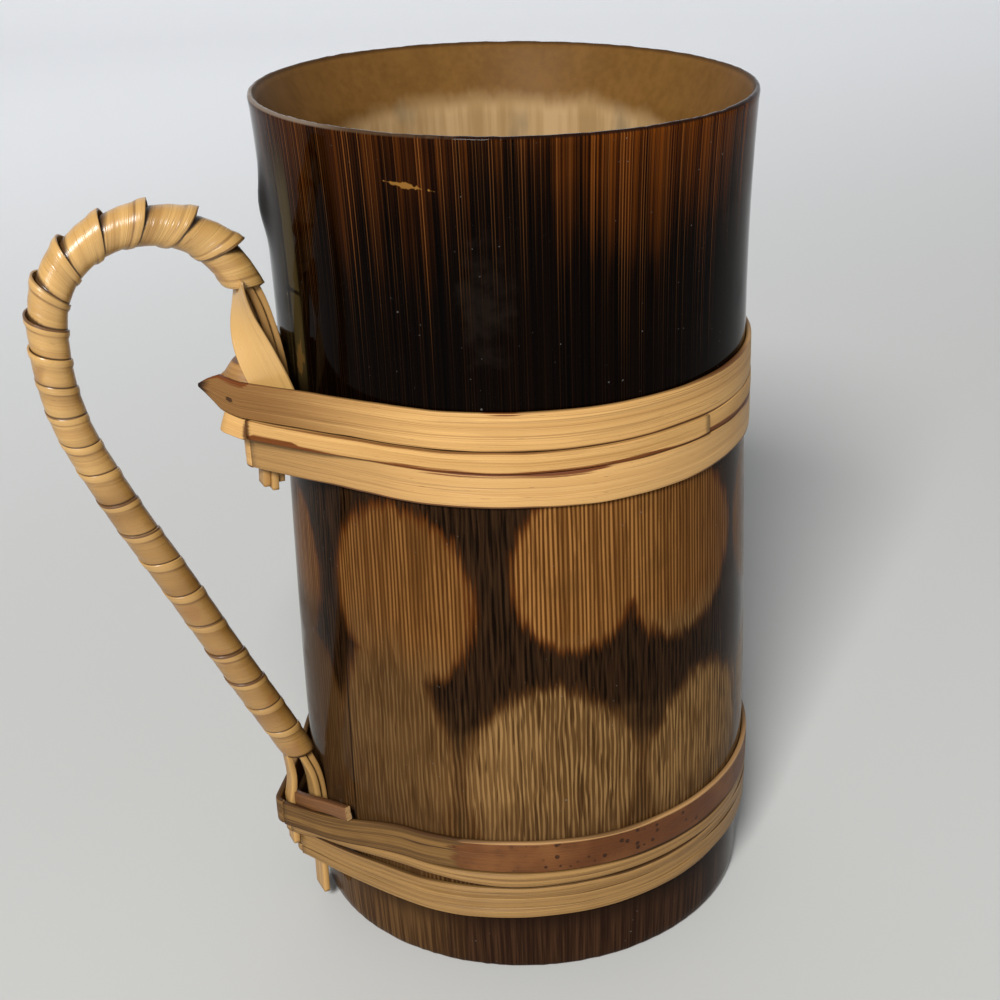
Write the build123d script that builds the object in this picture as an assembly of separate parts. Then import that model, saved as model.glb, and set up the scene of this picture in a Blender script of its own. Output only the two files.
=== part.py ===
from build123d import *
import math
import os

# Bamboo cup with a rattan-wrapped hook handle lashed on by two bands of split rattan.
# Millimetres, +Z up. The origin is on the cup's axis at the base, and the handle points along -X.

# Culm: one length of bamboo, closed at the bottom by its own node wall
cup_height = 140.0
base_radius = 38.2
rim_flare = 1.1
belly_swell = 2.35
waist_draw = 3.2
wall_thickness = 5.0
floor_height = 9.0
floor_fillet = 4.0
foot_ring = 6.0
base_recess = 2.5
rim_lip = 1.4
bevel_depth = 9.0
rim_slant = 1.4

# Bands: flat strips side by side, each bent once round the cup and the handle's end
upper_band_top = 101.2
upper_top_width = 5.5
upper_middle_width = 3.9
upper_bottom_width = 5.5
lower_band_top = 26.0
lower_top_width = 5.9
lower_middle_width = 2.0
lower_bottom_width = 5.5
strip_spacing = 0.3
band_thickness = 1.1
seat_clearance = 0.2
upper_nose_reach = 12.0
lower_nose_reach = 9.0
nose_radius = 1.6
butt_gap = 1.2
tip_length = 3.0

# Handle: three strips bent together into a hook, held by one strip wound round them
strip_thickness = 1.1
middle_strip_width = 4.4
side_strip_width = 3.0
strip_clearance = 0.1
handle_reach = 36.1
handle_top = 126.8
hook_lean = 5.9
hook_fill = 0.98
lean_bend = 4.0
shoulder_drop = 10.0
shoulder_fill = 0.95
foot_rise = 1.5
foot_bend = 4.0
foot_splay = 3.2
splay_bend = 1.8
upper_tail = 4.6
lower_tail_height = 2.5
hidden_end = 1.5
upper_bare = 12.3
foot_bare = 5.0
wrap_turns = 23
first_pitch = 6.8
wrap_gap = 0.75
wrap_thickness = 0.55
wrap_clearance = 0.1
wrap_sides = 12

# Lock strips: short ends tucked through the handle's strips above each band
lock_width = 3.2
lock_gap = 0.15
upper_lock_angle = 20.0
lower_lock_angle = 17.0
lower_lock_bend = 4.0
lower_lock_back = 3.2

rim_radius = base_radius + rim_flare
bundle_pitch = strip_thickness + strip_clearance
bundle_half = bundle_pitch + strip_thickness / 2
bundle_radius = max(
    math.hypot(side_strip_width / 2, bundle_half),
    math.hypot(middle_strip_width / 2, strip_thickness / 2),
)


def culm_radius(z):
    """Outside radius of the culm at a height: a cubic with a swell low down and a waist above."""
    t = z / cup_height
    low_pull = base_radius + rim_flare / 3 + belly_swell
    high_pull = base_radius + 2 * rim_flare / 3 - waist_draw
    return (
        base_radius * (1 - t) ** 3
        + 3 * low_pull * (1 - t) ** 2 * t
        + 3 * high_pull * (1 - t) * t**2
        + rim_radius * t**3
    )


def widest_radius(low, high, steps=8):
    """Largest outside radius of the culm between two heights."""
    return max(culm_radius(low + (high - low) * i / steps) for i in range(steps + 1))


def side_points(low, high, inset, steps=6):
    """Points up the culm's side in the XZ plane, moved inwards by inset."""
    heights = [low + (high - low) * i / steps for i in range(steps + 1)]
    return [(culm_radius(z) - inset, 0, z) for z in heights]


def make_culm():
    """The cup's body: tapered wall, scraped inner bevel, node wall for a floor, slanted rim."""
    rim_rise = rim_radius * math.tan(math.radians(rim_slant))
    top = cup_height + rim_rise
    bevel_end = cup_height - bevel_depth
    outside = Spline(side_points(0, top, 0))
    inside = Spline(side_points(floor_height, bevel_end, wall_thickness))
    lip_edge = (culm_radius(top) - rim_lip, 0, top)
    recess_edge = base_radius - foot_ring
    profile = [
        Line((0, 0, base_recess), (recess_edge, 0, base_recess)),
        Line((recess_edge, 0, base_recess), (recess_edge, 0, 0)),
        Line((recess_edge, 0, 0), outside @ 0),
        outside,
        Line(outside @ 1, lip_edge),
        Line(lip_edge, inside @ 1),
        inside,
        Line(inside @ 0, (0, 0, floor_height)),
        Line((0, 0, floor_height), (0, 0, base_recess)),
    ]
    body = revolve(make_face(profile), Axis.Z, 360)
    floor_ring = body.edges().filter_by(GeomType.CIRCLE).filter_by_position(Axis.Z, floor_height, floor_height)
    body = fillet(floor_ring, floor_fillet)
    rim_plane = Plane(
        origin=(0, 0, cup_height),
        z_dir=(math.sin(math.radians(rim_slant)), 0, math.cos(math.radians(rim_slant))),
    )
    return split(body, bisect_by=rim_plane, keep=Keep.BOTTOM)


def unit(vector):
    """A two-number vector made one long."""
    length = math.hypot(*vector)
    return vector[0] / length, vector[1] / length


def turn_angle(before, corner, after):
    """Signed turn at a corner of a flat route, in radians, positive to the left."""
    first = unit((corner[0] - before[0], corner[1] - before[1]))
    second = unit((after[0] - corner[0], after[1] - corner[1]))
    return math.atan2(first[0] * second[1] - first[1] * second[0], first[0] * second[0] + first[1] * second[1])


def move_sideways(points, shift):
    """A flat route moved to its left by shift, with mitred corners."""
    headings = [unit((b[0] - a[0], b[1] - a[1])) for a, b in zip(points, points[1:])]
    lefts = [(-heading[1], heading[0]) for heading in headings]
    moved = []
    for i, point in enumerate(points):
        before = lefts[max(i - 1, 0)]
        after = lefts[min(i, len(lefts) - 1)]
        spread = 1 + before[0] * after[0] + before[1] * after[1]
        moved.append(
            (
                point[0] + shift * (before[0] + after[0]) / spread,
                point[1] + shift * (before[1] + after[1]) / spread,
            )
        )
    return moved


def move_radii(points, radii, shift):
    """Bend radii of a route moved to its left by shift."""
    turns = [turn_angle(*points[i : i + 3]) for i in range(len(points) - 2)]
    return [radius - shift * math.copysign(1, turn) for radius, turn in zip(radii, turns)]


def ribbon_face(points, radii, thickness, place):
    """Face of a strip of even thickness along a flat route; place puts a flat point in space."""
    sides = []
    for shift in (thickness / 2, -thickness / 2):
        side = [place(*point) for point in move_sideways(points, shift)]
        sides.append(FilletPolyline(*side, radius=move_radii(points, radii, shift)))
    left, right = sides
    return make_face([left, right, Line(left @ 0, right @ 0), Line(left @ 1, right @ 1)])


def in_handle_plane(reach, height):
    """A point of the handle's plane, from its distance to the cup's axis and its height."""
    return (-reach, 0, height)


def upper_band_bottom():
    """Height of the upper band's lower edge."""
    return upper_band_top - upper_top_width - upper_middle_width - upper_bottom_width - 2 * strip_spacing


def lower_band_bottom():
    """Height of the lower band's lower edge."""
    return lower_band_top - lower_top_width - lower_middle_width - lower_bottom_width - 2 * strip_spacing


def handle_route():
    """Corners and bend radii of the handle's middle line, from its upper end to its lower end."""
    upper_end = upper_band_bottom() - upper_tail
    foot = lower_band_top + foot_rise
    upper_seat = widest_radius(upper_end, upper_band_top) + seat_clearance + bundle_half
    lower_seat = widest_radius(lower_tail_height, foot) + seat_clearance + bundle_half
    far_side = culm_radius(upper_band_top) + handle_reach
    lean_start = (upper_seat, upper_band_top)
    hook_near = (upper_seat + hook_lean, handle_top)
    hook_far = (far_side, handle_top)
    near_turn = turn_angle(lean_start, hook_near, hook_far)
    far_turn = math.pi / 2
    hook_span = hook_far[0] - hook_near[0]
    hook_radius = hook_fill * hook_span / (math.tan(abs(near_turn) / 2) + math.tan(far_turn / 2))
    shoulder = (far_side, handle_top - hook_radius - shoulder_drop)
    points = [
        (upper_seat, upper_end),
        lean_start,
        hook_near,
        hook_far,
        shoulder,
        (lower_seat, foot),
        (lower_seat, lower_tail_height),
    ]
    turns = [abs(turn_angle(*points[i : i + 3])) for i in range(len(points) - 2)]
    radii = [
        lean_bend / math.tan(turns[0] / 2),
        hook_radius,
        hook_radius,
        shoulder_fill * shoulder_drop / math.tan(turns[3] / 2),
        foot_bend / math.tan(turns[4] / 2),
    ]
    return points, radii


def make_handle_strip(shift, width, upper_end, lower_end, splay=0.0):
    """One strip of the handle, shift to the left of the middle line, between two end heights."""
    points, radii = handle_route()
    radii = move_radii(points, radii, shift)
    points = move_sideways(points, shift)
    points[0] = (points[0][0], upper_end)
    points[-1] = (points[-1][0], lower_end)
    if splay:
        foot = points[-2]
        down = unit((foot[0] - points[-3][0], foot[1] - points[-3][1]))
        knee = (foot[0] - foot_bare * down[0], foot[1] - foot_bare * down[1])
        points[-2] = (foot[0] + splay, lower_band_top + lock_width / 2)
        points[-1] = (foot[0] + splay, lower_end)
        points.insert(-2, knee)
        knee_turn = abs(turn_angle(*points[-4:-1]))
        foot_turn = abs(turn_angle(*points[-3:]))
        radii[-1:] = [splay_bend / math.tan(knee_turn / 2), splay_bend / math.tan(foot_turn / 2)]
    face = ribbon_face(points, radii, strip_thickness, in_handle_plane)
    return extrude(face, width / 2, dir=(0, 1, 0), both=True)


def make_handle_wrap():
    """The flat strip wound round the handle's strips, one unbroken run whose turns close up downwards."""
    points, radii = handle_route()
    path = FilletPolyline(*[in_handle_plane(*point) for point in points], radius=radii)
    start = upper_band_top - points[0][1] + upper_bare
    end = path.length - (lower_band_top + foot_rise - lower_tail_height) - foot_bare
    covered = wrap_turns + 1
    pitch_change = 2 * ((end - start + wrap_gap) / covered - first_pitch) / covered
    bend = radii[1] + bundle_radius
    chord_sag = (first_pitch / 2 * bend / radii[1]) ** 2 / (8 * bend)
    inner = (bundle_radius + chord_sag + wrap_clearance) / math.cos(math.pi / wrap_sides)
    outer = inner + wrap_thickness

    def edge_place(turn):
        return start + first_pitch * turn + pitch_change * turn**2 / 2

    def surface_point(along, angle, radius):
        middle = path.position_at(along, PositionMode.LENGTH)
        heading = path.tangent_at(along, PositionMode.LENGTH)
        outwards = Vector(heading.Z, 0, -heading.X)
        return middle + outwards * (radius * math.cos(angle)) + Vector(0, radius * math.sin(angle), 0)

    sections = []
    edge_points = []
    for step in range(wrap_turns * wrap_sides + 1):
        turn = step / wrap_sides
        near, far = edge_place(turn), edge_place(turn + 1) - wrap_gap
        across = [near, (near + far) / 2, far]
        corners = [(place, inner) for place in across] + [(place, outer) for place in reversed(across)]
        corners = [surface_point(place, 2 * math.pi * turn, radius) for place, radius in corners]
        sections.append(Wire.make_polygon(corners, close=True))
        edge_points.append(corners)
    least_gap = min(
        (next_turn[near_edge] - this_turn[far_edge]).length
        for this_turn, next_turn in zip(edge_points, edge_points[wrap_sides:])
        for near_edge in (0, -1)
        for far_edge in (2, 3)
    )
    print(f"handle_wrap: {wrap_turns} turns, least gap to itself {least_gap:.2f} mm")
    return Solid.make_loft(sections, ruled=True)


def band_plan(low, high, nose_reach):
    """Inner radius round the cup, distance to the nose's centre and the angle where the runs leave."""
    inner = widest_radius(low, high) + seat_clearance
    nose = inner + nose_reach - band_thickness - nose_radius
    leave = math.acos((inner - nose_radius) / nose)
    return inner, nose, leave


def make_band_strip(low, high, nose_reach, tip=0.0):
    """A strip bent round the cup with its ends brought together in a nose outside the handle."""
    inner, nose, leave = band_plan(low, high, nose_reach)
    nose_centre = Vector(-nose, 0, low)
    front = Vector(-math.cos(leave), -math.sin(leave), 0)
    back = Vector(-math.cos(leave), math.sin(leave), 0)
    leading = Vector(-math.sin(leave), math.cos(leave), 0)
    stop = 2 * leave - butt_gap / nose_radius
    cup_centre = Vector(0, 0, low)
    sides = []
    for offset in (0, band_thickness):
        front_nose = nose_centre + front * (nose_radius + offset)
        front_cup = cup_centre + front * (inner + offset)
        back_cup = cup_centre + back * (inner + offset)
        back_nose = nose_centre + back * (nose_radius + offset)
        far_side = Vector(inner + offset, 0, low)
        side = [
            Line(front_nose + leading * tip, front_cup),
            ThreePointArc(front_cup, far_side, back_cup),
            Line(back_cup, back_nose),
        ]
        if not tip:
            middle = back.rotate(Axis.Z, math.degrees(stop / 2)) * (nose_radius + offset)
            last = back.rotate(Axis.Z, math.degrees(stop)) * (nose_radius + offset)
            side.append(ThreePointArc(back_nose, nose_centre + middle, nose_centre + last))
        sides.append(side)
    caps = [Line(sides[0][0] @ 0, sides[1][0] @ 0), Line(sides[0][-1] @ 1, sides[1][-1] @ 1)]
    return extrude(make_face(sides[0] + sides[1] + caps), high - low, dir=(0, 0, 1))


def stack_heights(top, widths):
    """Low and high edge of each strip of a band, from the top one down."""
    heights = []
    for width in widths:
        heights.append((top - width, top))
        top -= width + strip_spacing
    return heights


def on_plan(radius, angle, height):
    """A point seen from above, at an angle in degrees from the handle towards the front."""
    turn = math.radians(angle)
    return (-radius * math.cos(turn), -radius * math.sin(turn), height)


def make_upper_lock():
    """A strip end that comes from behind the cup, folds round the handle and tucks in front of it."""
    low = upper_band_top + lock_gap
    inner, nose, _ = band_plan(low, low + lock_width, upper_nose_reach)
    points, _ = handle_route()
    lean = hook_lean / (handle_top - upper_band_top)
    bundle_face = points[0][0] + bundle_half + lean * (lock_gap + lock_width)
    middle = band_thickness / 2
    start = on_plan(inner + middle, -upper_lock_angle, low)
    fold = (-(nose + nose_radius + middle), 0)
    end = (-(bundle_face + seat_clearance + middle), -middle_strip_width / 2)
    route = [start[:2], fold, end]
    face = ribbon_face(route, [nose_radius + middle], band_thickness, lambda x, y: (x, y, low))
    return extrude(face, lock_width, dir=(0, 0, 1))


def make_lower_lock():
    """A strip end passed between the handle's outer strip and the other two, lying on the lower band."""
    low = lower_band_top + lock_gap
    points, _ = handle_route()
    shoulder, foot = points[4:6]
    lean = (shoulder[0] - foot[0]) / (shoulder[1] - foot[1])
    strip_face = foot[0] + lean * max(low + lock_width - foot[1], 0)
    strip_face += strip_thickness / 2 * math.hypot(1, lean)
    inner, _, _ = band_plan(low, low + lock_width, lower_nose_reach)
    middle = band_thickness / 2
    between = -(strip_face + seat_clearance + middle)
    end = on_plan(inner + middle, lower_lock_angle, low)
    route = [(between, lower_lock_back), (between, -lower_lock_back), end[:2]]
    face = ribbon_face(route, [lower_lock_bend], band_thickness, lambda x, y: (x, y, low))
    return extrude(face, lock_width, dir=(0, 0, 1))


def make_parts():
    """Every piece of the cup by name."""
    upper_end = upper_band_bottom() - upper_tail
    upper_hidden = upper_band_bottom() + hidden_end
    lower_hidden = lower_band_bottom() + hidden_end
    parts = {
        "cup_culm": make_culm(),
        "handle_outer_strip": make_handle_strip(
            bundle_pitch, side_strip_width, upper_hidden, lower_hidden, foot_splay
        ),
        "handle_middle_strip": make_handle_strip(0, middle_strip_width, upper_end, lower_tail_height),
        "handle_finger_strip": make_handle_strip(-bundle_pitch, side_strip_width, upper_hidden, lower_hidden),
        "handle_wrap": make_handle_wrap(),
        "upper_lock_strip": make_upper_lock(),
        "lower_lock_strip": make_lower_lock(),
    }
    upper_widths = (upper_top_width, upper_middle_width, upper_bottom_width)
    lower_widths = (lower_top_width, lower_middle_width, lower_bottom_width)
    for place, (low, high) in zip(("top", "middle", "bottom"), stack_heights(upper_band_top, upper_widths)):
        tip = tip_length if place == "top" else 0.0
        parts[f"upper_band_{place}_strip"] = make_band_strip(low, high, upper_nose_reach, tip)
    for place, (low, high) in zip(("top", "middle", "bottom"), stack_heights(lower_band_top, lower_widths)):
        parts[f"lower_band_{place}_strip"] = make_band_strip(low, high, lower_nose_reach)
    return parts


os.makedirs("parts", exist_ok=True)
for name, solid in make_parts().items():
    export_step(solid, f"parts/{name}.step")
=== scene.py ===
import math

import bmesh
import bpy
from mathutils import Matrix, Vector, noise


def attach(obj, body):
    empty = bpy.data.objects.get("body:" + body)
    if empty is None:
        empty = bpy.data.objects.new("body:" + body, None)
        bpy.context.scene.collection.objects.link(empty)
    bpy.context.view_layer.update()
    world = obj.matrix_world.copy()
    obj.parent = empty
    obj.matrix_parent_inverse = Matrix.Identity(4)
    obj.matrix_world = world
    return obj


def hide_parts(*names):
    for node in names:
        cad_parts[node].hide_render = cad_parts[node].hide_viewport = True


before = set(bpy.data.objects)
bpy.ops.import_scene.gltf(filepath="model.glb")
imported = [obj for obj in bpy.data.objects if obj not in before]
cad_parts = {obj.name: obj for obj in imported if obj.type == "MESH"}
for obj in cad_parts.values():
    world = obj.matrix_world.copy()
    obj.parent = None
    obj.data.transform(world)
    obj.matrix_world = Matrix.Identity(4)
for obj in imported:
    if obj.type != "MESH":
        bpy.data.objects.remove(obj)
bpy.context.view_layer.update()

# Looks for the bamboo cup: lacquered burnt culm, split-rattan bands and a rattan-wrapped handle.
# Sizes are written in millimetres in the part's own frame and laid down in metres.
MM = 0.001

# Culm
CUP_HEIGHT = 140.0
BASE_RADIUS = 38.2
RIM_FLARE = 1.1
BELLY_SWELL = 2.35
WAIST_DRAW = 3.2
WALL = 5.0
FLOOR_HEIGHT = 9.0
FLOOR_FILLET = 4.0
FOOT_RING = 6.0
BASE_RECESS = 2.5
RIM_LIP = 0.95
BEVEL_DEPTH = 9.0
RIM_SLANT = math.radians(1.4)
SLANT_FROM = 104.0
BUD_TURN = math.radians(169)
BUD_HEIGHT = 124.5
CULM_STEPS = 224
GRAIN_RADIUS = 39.0

# Bands: reach of their noses from the cup's face by the handle, and how the strips lie
UPPER_NOSE = 12.0
LOWER_NOSE = 9.0
NOSE_RADIUS = 1.6
BAND_THICKNESS = 1.1
LAID_THICKNESS = 0.78
SEAT = 0.08
BAND_STEP = 1.2

# Handle
STRIP_THICKNESS = 1.1
STRIP_PITCH = 1.2
WRAP_TURNS = 22
WRAP_START = 111.7
WRAP_PITCH = 5.72
WRAP_PITCH_SWING = 1.15
WRAP_SWING_TURNS = 17.0
WRAP_LAP = 1.1
WRAP_SIDES = 28
WRAP_INNER = 2.42
WRAP_INNER_LOW = 2.36
WRAP_THICKNESS = 0.36
WRAP_LIP = 0.26
WRAP_SEED = 40.0
LEAD_SEED = 60.0
LEAD_WIDTH = 5.9

# Turn of the picture's view round the cup
CAMERA_TURN = math.radians(-25)


def culm_radius(z):
    """Outside radius of the culm at a height."""
    t = z / CUP_HEIGHT
    low_pull = BASE_RADIUS + RIM_FLARE / 3 + BELLY_SWELL
    high_pull = BASE_RADIUS + 2 * RIM_FLARE / 3 - WAIST_DRAW
    return (
        BASE_RADIUS * (1 - t) ** 3
        + 3 * low_pull * (1 - t) ** 2 * t
        + 3 * high_pull * (1 - t) * t**2
        + (BASE_RADIUS + RIM_FLARE) * t**3
    )


def ease(low, high, value):
    """Smooth step from 0 at low to 1 at high; low may be the larger."""
    t = min(max((value - low) / (high - low), 0.0), 1.0)
    return t * t * (3 - 2 * t)


def wander(value, seed):
    """A slow random wave in one direction, between about -1 and 1."""
    return 2 * noise.noise(Vector((value, seed * 7.31, seed * 3.17)))


class Value:
    """A node's output that can be used in sums."""

    def __init__(self, finish, socket):
        self.finish = finish
        self.socket = socket

    def math(self, operation, other=None, swapped=False):
        pair = [self] if other is None else [other, self] if swapped else [self, other]
        return self.finish.node("ShaderNodeMath", {"operation": operation}, dict(enumerate(pair)))

    def __add__(self, other):
        return self.math("ADD", other)

    def __sub__(self, other):
        return self.math("SUBTRACT", other)

    def __rsub__(self, other):
        return self.math("SUBTRACT", other, True)

    def __mul__(self, other):
        return self.math("MULTIPLY", other)

    def __truediv__(self, other):
        return self.math("DIVIDE", other)

    def __rtruediv__(self, other):
        return self.math("DIVIDE", other, True)

    def __pow__(self, other):
        return self.math("POWER", other)

    def __abs__(self):
        return self.math("ABSOLUTE")

    def step(self, low, high):
        """Smooth step from 0 at low to 1 at high; low may be the larger."""
        return self.finish.node(
            "ShaderNodeMapRange",
            {"interpolation_type": "SMOOTHSTEP", "clamp": True},
            {"Value": self, "From Min": low, "From Max": high, "To Min": 0.0, "To Max": 1.0},
        )

    __radd__ = __add__
    __rmul__ = __mul__


class Finish:
    """A material with one Principled surface, written as expressions."""

    def __init__(self, name, **constants):
        self.material = bpy.data.materials.new(name)
        self.material.use_nodes = True
        self.tree = self.material.node_tree
        self.tree.nodes.clear()
        self.surface = self.tree.nodes.new("ShaderNodeBsdfPrincipled")
        output = self.tree.nodes.new("ShaderNodeOutputMaterial")
        self.tree.links.new(self.surface.outputs[0], output.inputs[0])
        for key, value in constants.items():
            self.surface.inputs[key.replace("_", " ")].default_value = value

    def node(self, kind, settings=None, inputs=None, output=0):
        made = self.tree.nodes.new(kind)
        for key, value in (settings or {}).items():
            setattr(made, key, value)
        for key, value in (inputs or {}).items():
            if isinstance(value, Value):
                self.tree.links.new(value.socket, made.inputs[key])
            else:
                made.inputs[key].default_value = value
        return Value(self, made.outputs[output])

    def place(self):
        """Position in the part's frame, in metres."""
        return self.node("ShaderNodeTexCoord", output="Object")

    def axes(self, vector):
        """The three numbers of a vector."""
        split = self.node("ShaderNodeSeparateXYZ", inputs={0: vector})
        return [Value(self, socket) for socket in split.socket.node.outputs]

    def attribute(self, name):
        """A number kept on the piece's own vertices."""
        return self.node("ShaderNodeAttribute", {"attribute_name": name}, output="Fac")

    def pack(self, x, y, z):
        return self.node("ShaderNodeCombineXYZ", inputs={0: x, 1: y, 2: z})

    def stretch(self, vector, factors):
        return self.node("ShaderNodeVectorMath", {"operation": "MULTIPLY"}, {0: vector, 1: factors})

    def cloud(self, vector, scale=1.0, detail=2.0):
        """Soft random tone, about 0.5."""
        return self.node("ShaderNodeTexNoise", inputs={"Vector": vector, "Scale": scale, "Detail": detail})

    def blend(self, factor, first, second):
        """First colour where factor is 0, second where it is 1."""
        return self.node(
            "ShaderNodeMix",
            {"data_type": "RGBA", "clamp_factor": True},
            {0: factor, 6: shade(first), 7: shade(second)},
            output=2,
        )

    def layer(self, colour, *coats):
        """A colour with coats laid over it, each given as its factor and its colour."""
        for factor, coat in coats:
            colour = self.blend(factor, colour, coat)
        return colour

    def paint(self, **sockets):
        """Link what changes over the surface to the surface's sockets."""
        for key, value in sockets.items():
            self.tree.links.new(value.socket, self.surface.inputs[key.replace("_", " ")])

    def emboss(self, height, distance, strength):
        """Small relief in the normals, distance in metres."""
        inputs = {"Height": height, "Distance": distance, "Strength": strength}
        self.paint(Normal=self.node("ShaderNodeBump", inputs=inputs))


def shade(colour):
    """A colour with its alpha, or a value as it is."""
    return colour if isinstance(colour, Value) else (*colour, 1.0)


# Burnt spots: turn in degrees from the front (-Y) towards +X, height, half width and half height in mm
SPOTS = [
    (-180, 68, 13.0, 15.0),
    (-139, 71, 12.5, 15.5),
    (-98, 66, 10.5, 15.0),
    (-55, 68.4, 12.6, 15.3),
    (-11.5, 74, 10.2, 13.4),
    (3.5, 77, 7.0, 10.5),
    (17.5, 72.5, 12.4, 13.6),
    (58, 71, 12.0, 15.0),
    (97, 68, 12.5, 15.5),
    (138, 72, 12.0, 14.5),
    (180, 68, 13.0, 15.0),
    (-160, 35, 14.0, 17.0),
    (-121, 37, 13.5, 17.0),
    (-89, 36, 10.0, 19.0),
    (-59.5, 37, 10.9, 24.0),
    (-19.5, 36.0, 13.8, 18.0),
    (24, 32.5, 12.7, 17.2),
    (63, 37, 13.5, 17.0),
    (102, 34, 13.5, 17.0),
    (143, 37, 13.5, 17.5),
    (200, 35, 14.0, 17.0),
]


# Scraped places: turn, height, slope of the scrape, half length and half width in mm, and how bare it is
SCRAPES = [(-46.1, 133.6, -0.15, 3.9, 0.6, 0.85), (-84, 103.4, 8.0, 3.4, 1.8, 0.34)]


def fibres(finish, place, around, up, detail=2.0):
    """Streaks that run up the culm: lines around and up are per metre."""
    return finish.cloud(finish.stretch(place, (around, around, up)), 1.0, detail)


def spot_distance(finish, arc, height):
    """How far a place is from the middle of its nearest burnt spot: 1 on the spot's edge."""
    flat = finish.pack(arc, height, 0.0)
    nearest = None
    for turn, z, half_width, half_height in SPOTS:
        middle = (math.radians(turn), z * MM, 0.0)
        reach = finish.node("ShaderNodeVectorMath", {"operation": "SUBTRACT"}, {0: flat, 1: middle})
        arc_half = half_width / culm_radius(z)
        reach = finish.stretch(reach, (1 / arc_half, 1 / (half_height * MM), 0.0))
        length = finish.node("ShaderNodeVectorMath", {"operation": "LENGTH"}, {0: reach}, output="Value")
        nearest = length if nearest is None else nearest.math("MINIMUM", length)
    return nearest


def fibre_lines(finish, place, arc, count, sway, run):
    """Even lines up the culm, count of them all round, that sway a little: 0 between lines, 1 on a line."""
    drift = fibres(finish, place, 350.0, run, 1.0) * sway
    return (arc * count + drift).math("SINE") * 0.5 + 0.5


def burnt_middle(finish, place, arc, side, z, streak):
    """Colour between the bands, and where it is spots: rust-edged tan ovals on a near-black web."""
    waver = finish.cloud(place, 130.0, 2.0)
    patches = finish.cloud(place, 60.0, 2.0)
    breaks = fibres(finish, place, 1700.0, 160.0, 1.0)
    short = fibres(finish, place, 2300.0, 130.0, 1.0)
    strength = fibres(finish, place, 700.0, 30.0, 1.0).step(0.25, 0.65)
    lines = fibre_lines(finish, place, arc, 350.0, 8.0, 28.0).step(0.15, 0.9)
    wavy_lines = fibre_lines(finish, place, arc, 310.0, 10.0, 80.0)
    dash = (breaks * 0.62 + wavy_lines * 0.38).step(0.44, 0.7)
    dark_dash = short.step(0.46, 0.33)
    settled = (z + (waver - 0.5) * 0.016).step(0.052, 0.04)

    edge = spot_distance(finish, arc, z) + (waver - 0.5) * 0.14 + (short - 0.5) * 0.24 + (streak - 0.5) * 0.22
    edge = edge - (lines - 0.5) * 0.05 - settled * 0.07 + settled * (patches - 0.5) * 0.5
    core = edge.step(1.03, 0.89)
    halo = edge.step(1.1, 0.98)
    low_part = (z + (patches - 0.5) * 0.03).step(0.068, 0.05)

    line_light = (0.2 + strength * 0.8) * (0.84 - arc.step(0.05, 0.3) * 0.32)
    upper = finish.layer(
        finish.blend(streak, (0.054, 0.017, 0.003), (0.098, 0.037, 0.0076)),
        (lines * line_light, (0.325, 0.148, 0.041)),
        (dark_dash * 0.4, (0.04, 0.013, 0.0024)),
    )
    lower = finish.layer(
        finish.blend(patches.step(0.3, 0.7), (0.076, 0.036, 0.011), (0.128, 0.065, 0.0215)),
        (dash * 0.58, (0.335, 0.192, 0.072)),
        (dark_dash * 0.75, (0.034, 0.0145, 0.0042)),
    )
    past_split = arc.step(-1.27, -1.295) * arc.step(-2.3, -1.9) * z.step(0.066, 0.056)
    tan = finish.layer(
        finish.blend(low_part, upper, lower),
        (side.step(-0.48, -0.75) * 0.34, (0.046, 0.016, 0.0036)),
        (side.step(-0.62, -0.8) * low_part * 0.4, (0.046, 0.022, 0.007)),
        (waver.step(0.52, 0.75) * 0.3, (0.056, 0.024, 0.0064)),
        (past_split * 0.62, (0.036, 0.0165, 0.0062)),
        ((z + (short - 0.5) * 0.012).step(0.036, 0.025) * 0.5, (0.042, 0.019, 0.0074)),
    )

    rust = finish.blend(low_part, (0.08, 0.021, 0.003), (0.052, 0.0195, 0.0046))
    web = finish.layer(
        finish.blend(short.step(0.34, 0.68), (0.004, 0.0016, 0.0006), (0.0215, 0.0092, 0.0036)),
        (dash * 0.15, (0.085, 0.044, 0.019)),
        (settled * 0.75, (0.044, 0.02, 0.0062)),
        (halo * 0.75, rust),
        (dash * settled * 0.38, (0.19, 0.098, 0.034)),
    )
    return finish.blend(core, web, tan), core


def charred_top(finish, place, arc, side, z, streak):
    """Colour over the upper band: almost black, with long red-brown fibres that fade down from the rim."""
    patches = finish.cloud(place, 60.0, 2.0)
    bundles = fibres(finish, place, 420.0, 5.0, 1.0)
    fine = fibres(finish, place, 3400.0, 9.0, 1.0)
    threads = fibre_lines(finish, place, arc, 560.0, 5.0, 5.0).step(0.68, 0.98)
    strength = fibres(finish, place, 1500.0, 9.0, 1.0).step(0.46, 0.68)
    grain = streak * 0.3 + fine * 0.7
    sooty = abs(arc + 0.45).step(0.34, 0.06) * 0.011
    fade = z + (grain - 0.5) * 0.03 + (bundles - 0.5) * 0.034 + (patches - 0.5) * 0.016 - sooty
    to_right = (side + (patches - 0.5) * 0.7).step(-0.72, 0.0)
    glow = fade.step(0.119, 0.151) * (0.34 + to_right * 0.66)
    red = finish.blend(grain.step(0.34, 0.68), (0.038, 0.0074, 0.001), (0.152, 0.039, 0.0036))
    black = finish.blend(grain.step(0.36, 0.7), (0.0006, 0.0003, 0.0002), (0.0034, 0.0012, 0.0005))
    colour = finish.blend(glow, black, red)
    line_light = 0.03 + fade.step(0.104, 0.146) * 0.46
    return finish.blend(threads * strength * line_light, colour, (0.27, 0.096, 0.022))


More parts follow.
